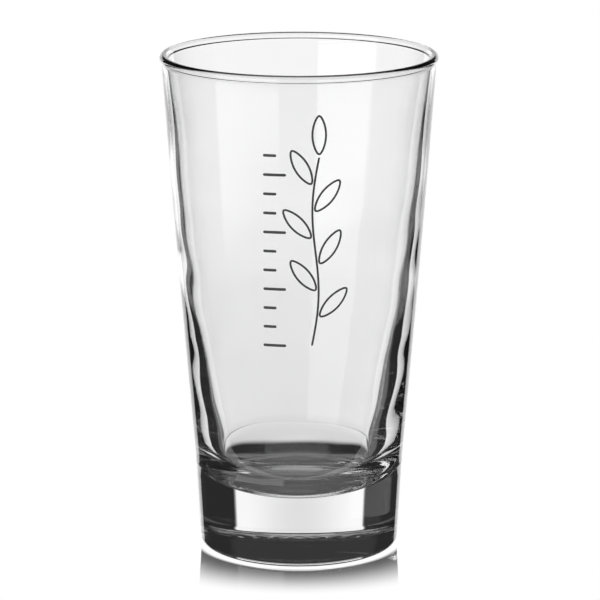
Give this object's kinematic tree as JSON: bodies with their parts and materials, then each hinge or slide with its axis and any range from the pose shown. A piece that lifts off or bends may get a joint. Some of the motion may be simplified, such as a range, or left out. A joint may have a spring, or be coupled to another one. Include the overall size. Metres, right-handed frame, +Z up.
{
  "type": "pint glass",
  "caption": "Clear conical beer glass with a thin fire-polished rim, a thick solid foot with a shallow recess underneath, and a grey enamel print of plain bars and a leafy sprig.",
  "frame": {"origin": "centre of the foot, on the surface that the glass stands on", "axes": "+Z up along the glass's axis of symmetry; the printed front faces -Y"},
  "size_m": [0.088, 0.088, 0.16],
  "materials": {
    "clear_glass": "clear soda-lime glass, pressed and fire polished, with slight waviness and a stippled bearing ring",
    "grey_enamel": "dark grey ceramic enamel ink, screen printed and fired on, semi-gloss"
  },
  "bodies": {
    "root": {"glass_body": "clear_glass", "print_bar_01": "grey_enamel", "print_bar_02": "grey_enamel", "print_bar_03": "grey_enamel", "print_bar_04": "grey_enamel", "print_bar_05": "grey_enamel", "print_bar_06": "grey_enamel", "print_bar_07": "grey_enamel", "print_bar_08": "grey_enamel", "print_bar_09": "grey_enamel", "print_bar_10": "grey_enamel", "print_bar_11": "grey_enamel", "print_leaf_1": "grey_enamel", "print_leaf_2": "grey_enamel", "print_leaf_3": "grey_enamel", "print_leaf_4": "grey_enamel", "print_leaf_5": "grey_enamel", "print_leaf_6": "grey_enamel", "print_leaf_tip": "grey_enamel", "print_stem": "grey_enamel"}
  },
  "joints": []
}
